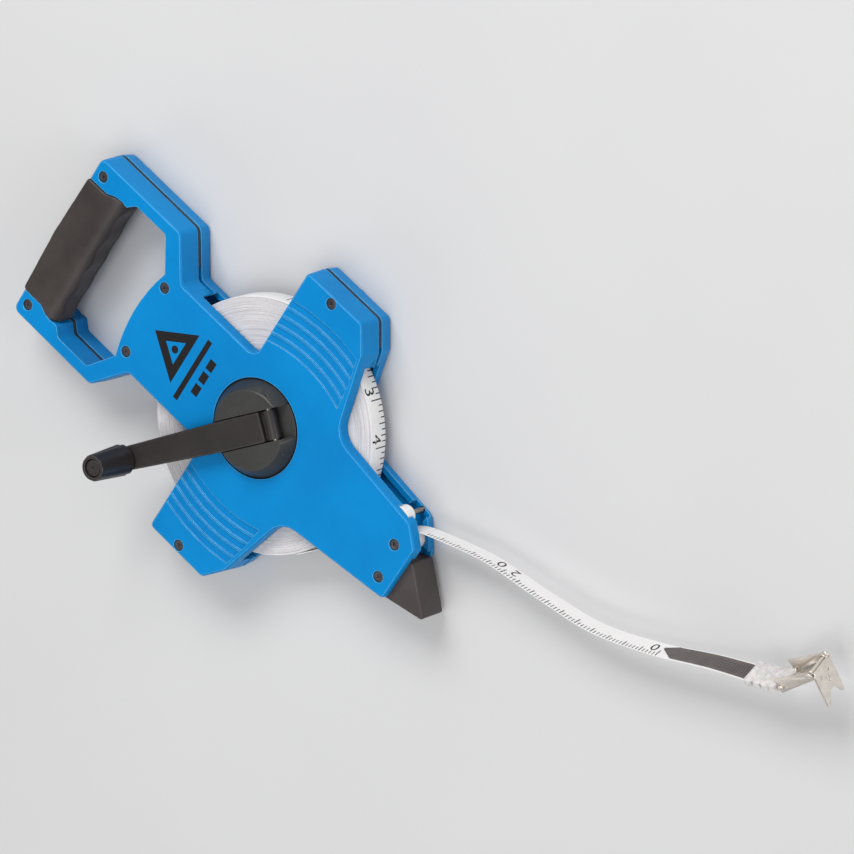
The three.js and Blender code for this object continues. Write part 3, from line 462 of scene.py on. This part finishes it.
# ---------------------------------------------------------------- wound tape
def wound_tape():
    """The pack of tape with the edges of its turns standing at slightly different heights."""
    steps = 180
    turns = 64
    pitch = (PACK_R - CORE_R) / turns
    profile = [(PACK_R - 0.12 * MM, PACK_Z0 + 0.25 * MM), (PACK_R, PACK_Z0 + 0.5 * MM),
               (PACK_R, PACK_MID), (PACK_R, PACK_Z1 - 0.5 * MM), (PACK_R - 0.12 * MM, PACK_Z1 - 0.2 * MM)]
    top = []
    for i in range(turns):
        rise = PACK_Z1 - 0.42 * MM * even_hash(i) ** 2
        outer = PACK_R - 0.3 * MM - i * pitch
        top += [(outer, rise), (outer - 0.62 * pitch, rise), (outer - 0.8 * pitch, rise - 0.22 * MM)]
    profile += top + [(CORE_R, PACK_Z1 - 0.5 * MM), (CORE_R, PACK_Z0 + 0.5 * MM)]
    bottom = []
    for i in range(turns // 4):
        sink = PACK_Z0 + 0.3 * MM * even_hash(i + 500)
        inner = CORE_R + 0.3 * MM + i * pitch * 4
        bottom += [(inner, sink), (inner + 3.2 * pitch, sink), (inner + 3.6 * pitch, sink + 0.2 * MM)]
    profile += bottom
    verts = []
    for r, z in profile:
        for j in range(steps):
            a = 2 * math.pi * j / steps
            inside = 0.0 if r > PACK_R - 0.2 * MM or r < CORE_R + 0.2 * MM else 1.0
            wave = 0.06 * MM * math.sin(3 * a + 900 * r) * inside
            verts.append(((r + wave) * math.cos(a), (r + wave) * math.sin(a), z))
    count = len(profile)
    faces = ring_faces(count, steps, closed_rings=True)
    pack = new_mesh("wound_tape", verts, faces, ["strand", "edges"])
    for face in pack.data.polygons:
        ring = min(v // steps for v in face.vertices)
        face.material_index = 0 if ring < 4 else 1
    pack.data.set_sharp_from_angle(angle=math.radians(40))
    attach(pack, "reel")
    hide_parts("tape_winding")
    return pack


# ---------------------------------------------------------------- printed marks
def digit_outline(text):
    """Flat triangles of a plain numeral, one unit high, its lower left corner at the origin."""
    curve = bpy.data.curves.new("numeral", "FONT")
    curve.body = text
    curve.resolution_u = 4
    thing = bpy.data.objects.new("numeral", curve)
    bpy.context.scene.collection.objects.link(thing)
    bpy.context.view_layer.update()
    mesh = bpy.data.meshes.new_from_object(thing)
    verts = [(v.co.x, v.co.y) for v in mesh.vertices]
    faces = [tuple(p.vertices) for p in mesh.polygons]
    bpy.data.objects.remove(thing)
    bpy.data.curves.remove(curve)
    bpy.data.meshes.remove(mesh)
    low_x, low_y = min(v[0] for v in verts), min(v[1] for v in verts)
    tall = max(v[1] for v in verts) - low_y
    verts = [((x - low_x) / tall, (y - low_y) / tall) for x, y in verts]
    return verts, faces


class Marks:
    """Flat marks gathered in tape coordinates: s along the tape, v across it, both in metres."""

    def __init__(self):
        self.verts = []
        self.faces = []

    def bar(self, s0, s1, v0, v1, pieces=1):
        for i in range(pieces):
            a, b = s0 + (s1 - s0) * i / pieces, s0 + (s1 - s0) * (i + 1) / pieces
            n = len(self.verts)
            self.verts += [(a, v0), (b, v0), (b, v1), (a, v1)]
            self.faces.append((n, n + 1, n + 2, n + 3))

    def numeral(self, text, s, v, height, along=1.0, upward=1.0):
        """Centred at (s, v). It reads toward +s times along, and its top is toward +v times upward."""
        verts, faces = digit_outline(text)
        width = max(x for x, _ in verts)
        n = len(self.verts)
        self.verts += [(s + along * (x - width / 2) * height, v + upward * (y - 0.5) * height)
                       for x, y in verts]
        self.faces += [tuple(n + k for k in face) for face in faces]

    def outline(self, points):
        n = len(self.verts)
        self.verts += points
        self.faces.append(tuple(range(n, n + len(points))))

    def put(self, name, place, look, thick=0.03 * MM):
        """A thin closed skin of ink: place(s, v, lift) gives the point above the printed surface."""
        n = len(self.verts)
        low = [place(s, v, 0.004 * MM) for s, v in self.verts]
        high = [place(s, v, thick) for s, v in self.verts]
        faces = [tuple(n + k for k in f) for f in self.faces] + [tuple(reversed(f)) for f in self.faces]
        edges = {}
        for f in self.faces:
            for a, b in zip(f, f[1:] + f[:1]):
                edges[(a, b)] = True
        faces += [(a, b, n + b, n + a) for a, b in edges if (b, a) not in edges]
        piece = new_mesh(name, low + high, faces, [look], smooth=False)
        mesh = bmesh.new()
        mesh.from_mesh(piece.data)
        bmesh.ops.recalc_face_normals(mesh, faces=mesh.faces)
        mesh.to_mesh(piece.data)
        mesh.free()
        return piece


def wound_scale():
    """Inch scale round the outer turn: eighths from the rear edge, numerals with their tops to it."""
    inch = 25.4 * MM
    marks = Marks()
    lengths = {0: 9.0, 4: 5.2, 2: 4.2, 6: 4.2}
    first, last = -3, 9
    for i in range(first * 8, last * 8 + 1):
        reach = lengths.get(i % 8, 3.2) * MM
        s = i * inch / 8
        edge = TAPE_W / 2 - 0.15 * MM
        marks.bar(s - 0.3 * MM, s + 0.3 * MM, edge - reach, edge)
    for number in range(1, last + 4):
        marks.numeral(str(number), (number - 3) * inch - 5.0 * MM, -1.9 * MM, 7.8 * MM)

    def place(s, v, lift):
        a = math.radians(52.1) - s / PACK_R
        r = PACK_R + lift
        return (r * math.cos(a), r * math.sin(a), PACK_MID - v)

    print_piece = marks.put("wound_scale", place, "ink")
    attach(print_piece, "reel")
    return print_piece


# ---------------------------------------------------------------- free tape
ROUTE = [Vector(p) * MM for p in (
    (110.0, 21.8, 13.9), (118.0, 25.2, 14.0), (127.0, 28.8, 14.1), (146.5, 35.7, 14.3), (180.8, 42.7, 15.0),
    (215.2, 51.3, 16.0), (247.7, 67.3, 17.2), (278.1, 86.6, 18.4), (304.5, 101.4, 19.3), (313.0, 106.2, 19.6),
)]
SLEEVE_LENGTH = 18.4 * MM
TAPE_IN_SLEEVE = 9 * MM
LEADER_LENGTH = 53.0 * MM         # dark film, from its point to the sleeve
TWIST = 30.0                      # degrees the tape turns over by its end
TWIST_FROM = 0.1                  # share of the length that stays upright


def spline_points(points, per_span=40):
    """Centripetal Catmull-Rom through the points, sampled evenly in each span."""
    ends = [points[0] * 2 - points[1]] + points + [points[-1] * 2 - points[-2]]
    line = []
    for i in range(1, len(ends) - 2):
        p0, p1, p2, p3 = ends[i - 1:i + 3]
        k = [0.0]
        for a, b in ((p0, p1), (p1, p2), (p2, p3)):
            k.append(k[-1] + (b - a).length ** 0.5)
        for j in range(per_span):
            t = k[1] + (k[2] - k[1]) * j / per_span
            a1 = p0 * ((k[1] - t) / (k[1] - k[0])) + p1 * ((t - k[0]) / (k[1] - k[0]))
            a2 = p1 * ((k[2] - t) / (k[2] - k[1])) + p2 * ((t - k[1]) / (k[2] - k[1]))
            a3 = p2 * ((k[3] - t) / (k[3] - k[2])) + p3 * ((t - k[2]) / (k[3] - k[2]))
            b1 = a1 * ((k[2] - t) / (k[2] - k[0])) + a2 * ((t - k[0]) / (k[2] - k[0]))
            b2 = a2 * ((k[3] - t) / (k[3] - k[1])) + a3 * ((t - k[1]) / (k[3] - k[1]))
            line.append(b1 * ((k[2] - t) / (k[2] - k[1])) + b2 * ((t - k[1]) / (k[2] - k[1])))
    return line + [points[-1].copy()]


class FreeLine:
    """The free tape's middle line, with its width and face directions at any distance along it."""

    def __init__(self, points):
        self.line = spline_points(points)
        self.at = [0.0]
        for a, b in zip(self.line, self.line[1:]):
            self.at.append(self.at[-1] + (b - a).length)
        self.length = self.at[-1]

    def point(self, s):
        s = min(max(s, 0.0), self.length)
        low, high = 0, len(self.at) - 1
        while high - low > 1:
            mid = (low + high) // 2
            low, high = (mid, high) if self.at[mid] <= s else (low, mid)
        share = (s - self.at[low]) / (self.at[high] - self.at[low])
        return self.line[low].lerp(self.line[high], share)

    def axes(self, s):
        """Tangent, direction across the tape and direction out of its printed face."""
        step = 0.4 * MM
        t = (self.point(s + step) - self.point(s - step)).normalized()
        side = Vector((-t.y, t.x, 0.0)).normalized()
        up = t.cross(side).normalized()
        u = max(0.0, (s / self.length - TWIST_FROM) / (1 - TWIST_FROM))
        a = math.radians(TWIST * u ** 1.6)
        across = up * math.cos(a) - side * math.sin(a)
        return t, across, -t.cross(across).normalized()

    def place(self, s, v, lift):
        _, across, out = self.axes(s)
        return self.point(s) + across * v + out * lift


FREE = FreeLine(ROUTE)
SLEEVE_START = FREE.length - SLEEVE_LENGTH
TAPE_END = SLEEVE_START + TAPE_IN_SLEEVE
ZERO_AT = SLEEVE_START - LEADER_LENGTH - 0.5 * MM


def ribbon(name, line, s0, s1, width, thick, steps, look, lift=0.0):
    """A flat strip swept along the tape with eased edges, its length and width kept as a UV map in mm."""
    half, h = width / 2, thick / 2
    e = min(0.35 * h, 0.12 * MM)
    section = [(-half, -h + e), (-half + e, -h), (-half * 0.6, -h), (0.0, -h), (half * 0.6, -h),
               (half - e, -h), (half, -h + e), (half, h - e), (half - e, h), (half * 0.6, h), (0.0, h),
               (-half * 0.6, h), (-half + e, h), (-half, h - e)]
    verts = []
    marks = []
    for i in range(steps + 1):
        s = s0 + (s1 - s0) * i / steps
        for v, d in section:
            verts.append(line.place(s, v, d + lift))
            marks.append((s / MM, v / MM))
    n = len(section)
    faces = ring_faces(steps + 1, n)
    faces += [tuple(reversed(range(n))), tuple(range(steps * n, steps * n + n))]
    piece = new_mesh(name, verts, faces, [look])
    uv = piece.data.uv_layers.new(name="tape")
    for loop in piece.data.loops:
        uv.data[loop.index].uv = marks[loop.vertex_index]
    piece.data.set_sharp_from_angle(angle=math.radians(40))
    return piece


def leader_film(line):
    """The dark film over the first stretch of tape: square at the sleeve and pointed at the zero mark."""
    s0, s1 = SLEEVE_START - LEADER_LENGTH, SLEEVE_START + 3 * MM
    half = 5.7 * MM
    steps = 60
    verts, marks = [], []
    for i in range(steps + 1):
        s = s0 + (s1 - s0) * i / steps
        reach = half * min(1.0, 0.12 + (s - s0) / (8.5 * MM))
        centre = -2.0 * MM * max(0.0, 1 - (s - s0) / (8.5 * MM))
        for k in range(7):
            v = centre + reach * (k / 3 - 1)
            verts.append((s, v))
            marks.append((s / MM, v / MM))
    n = len(verts)
    low = [line.place(s, v, TAPE_T / 2 + 0.01 * MM) for s, v in verts]
    high = [line.place(s, v, TAPE_T / 2 + 0.16 * MM) for s, v in verts]
    faces = []
    for i in range(steps):
        for k in range(6):
            a, b = i * 7 + k, i * 7 + k + 1
            faces.append((a + n, a + 7 + n, b + 7 + n, b + n))
            faces.append((a, b, b + 7, a + 7))
    rim = [i * 7 for i in range(steps + 1)] + [steps * 7 + k for k in range(1, 7)]
    rim += [i * 7 + 6 for i in range(steps - 1, -1, -1)] + [5, 4, 3, 2, 1]
    for a, b in zip(rim, rim[1:] + rim[:1]):
        faces.append((a, a + n, b + n, b)[::-1])
    piece = new_mesh("leader_film", low + high, faces, ["film"], smooth=False)
    uv = piece.data.uv_layers.new(name="tape")
    for loop in piece.data.loops:
        uv.data[loop.index].uv = marks[loop.vertex_index % n]
    return piece


def free_scale():
    """Scale on the free tape: two-millimetre ticks from the front edge, every fifth one longer."""
    marks = Marks()
    edge = TAPE_W / 2 - 0.15 * MM
    step = 2 * MM
    count = int(ZERO_AT / step)
    for i in range(count):
        s = ZERO_AT - i * step
        if i % 5 == 0:
            reach = 5.6 * MM if i % 25 == 0 else 4.6 * MM
        else:
            reach = 3.2 * MM
        half = 0.3 * MM if i % 5 == 0 else 0.24 * MM
        marks.bar(s - half, s + half, edge - reach, edge)
    low = -1.4 * MM
    marks.numeral("0", ZERO_AT - 4.4 * MM, low + 0.6 * MM, 6.4 * MM, along=-1.0)
    mark = ZERO_AT - 100 * MM
    marks.numeral("2", mark + 4.6 * MM, low, 6.6 * MM, along=-1.0)
    marks.numeral("0", mark - 4.6 * MM, low, 6.6 * MM, along=-1.0)
    return marks.put("free_scale", lambda s, v, lift: FREE.place(s, v, TAPE_T / 2 + lift), "ink")


def free_tape():
    """The pulled-out end: tape, printed scale and leader film, each attached to the frame."""
    tape = ribbon("free_tape", FREE, 0.0, TAPE_END, TAPE_W, TAPE_T, 150, "tape")
    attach(tape, "frame")
    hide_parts("tape_free")
    scale = free_scale()
    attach(scale, "frame")
    leader = leader_film(FREE)
    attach(leader, "frame")
    path = [FREE.point(TAPE_END * i / 150) for i in range(151)]
    return tape


# ---------------------------------------------------------------- emblem
def emblem():
    """A plain printed mark on the front shell: a station triangle with two bars under it."""
    marks = Marks()
    tall, wide, line = 24 * MM, 34 * MM, 4.4 * MM
    base = -56 * MM
    outer = [(-wide / 2, base), (wide / 2, base), (0.0, base - tall)]
    centre = (0.0, base - tall / 3)
    shrink = 1 - line / (tall / 3)
    inner = [(centre[0] + (x - centre[0]) * shrink, centre[1] + (y - centre[1]) * shrink) for x, y in outer]
    for i in range(3):
        j = (i + 1) % 3
        marks.outline([outer[i], outer[j], inner[j], inner[i]])
    dot = [(centre[0] + 2.2 * MM * math.cos(2 * math.pi * k / 24),
            centre[1] + 2.2 * MM * math.sin(2 * math.pi * k / 24)) for k in range(24)]
    marks.outline(dot)
    marks.bar(-22 * MM, 19 * MM, -50.5 * MM, -47.3 * MM)
    for k in range(3):
        marks.bar((-12 + 8.6 * k) * MM, (-12 + 8.6 * k + 6.4) * MM, -43.2 * MM, -38.6 * MM)
    piece = marks.put("emblem", lambda s, v, lift: Vector((v, s, SHELL_TOP + lift)), "ink", 0.05 * MM)
    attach(piece, "frame")
    return piece


# ---------------------------------------------------------------- stage
def area_light(name, place, target, size, power, colour=(1.0, 1.0, 1.0)):
    data = bpy.data.lights.new(name, "AREA")
    data.shape = "RECTANGLE"
    data.size, data.size_y = size
    data.energy = power
    data.color = colour
    light = bpy.data.objects.new(name, data)
    bpy.context.scene.collection.objects.link(light)
    light.location = place
    light.rotation_mode = "QUATERNION"
    light.rotation_quaternion = (Vector(target) - Vector(place)).to_track_quat("-Z", "Y")
    return light


def studio():
    """Pale floor under the reel and soft light from above, behind and both sides."""
    mesh = bpy.data.meshes.new("floor")
    reach = 6.0
    level = cad_box[0].z - 0.2 * MM
    mesh.from_pydata([(-reach, -reach, level), (reach, -reach, level), (reach, reach, level),
                      (-reach, reach, level)], [], [(0, 1, 2, 3)])
    mesh.materials.append(floor_paint("floor"))
    floor = bpy.data.objects.new("floor", mesh)
    bpy.context.scene.collection.objects.link(floor)
    world = bpy.data.worlds.new("studio")
    world.use_nodes = True
    world.node_tree.nodes["Background"].inputs[0].default_value = (0.96, 0.96, 0.96, 1.0)
    world.node_tree.nodes["Background"].inputs[1].default_value = 0.3
    bpy.context.scene.world = world
    middle = (cad_box[0] + cad_box[1]) / 2
    area_light("key", (-1.1, 1.5, 1.5), middle, (1.6, 1.0), 40.0)
    area_light("front", (0.6, -0.3, 2.4), middle, (1.8, 1.8), 25.0)
    area_light("side", (1.9, 1.1, 0.8), middle, (1.0, 1.2), 15.0)
    area_light("low", (-0.4, -1.9, 0.9), middle, (1.6, 0.8), 7.0)


# ---------------------------------------------------------------- build
make_camera()
free_tape()

screws = [name for name in NODES if name.startswith("frame_screw_")]
dress(["front_frame", "rear_frame"], "shell", shading=SHELL_SHADING)
dress(["grip_front", "grip_rear"], "grip", voxel=0.6 * MM, smooth=6)
dress(["ground_foot"], "foot")
dress(["handle_spine", "tip_spacer_upper", "tip_spacer_lower"], "strip")
dress(["crank_arm", "crank_knob", "knob_pin"], "crank")
dress(["crank_hub"], "hub")
dress(["spool_core"], "core")
dress(["guide_flange", "guide_roller"], "roller")
dress(["tape_strand"], "strand")
dress(["end_sleeve"], "sleeve", shading=ROUND_SHADING)
dress(["clip_channel", "clip_pin", "claw_rivet", "claw_hook"], "steel")
dress(screws + ["axle_screw"], "screw")
dress(["crank_hinge_pin", "guide_pin"], "pin")

wound_tape()
wound_scale()
emblem()
studio()
bpy.context.scene.view_settings.view_transform = "Standard"
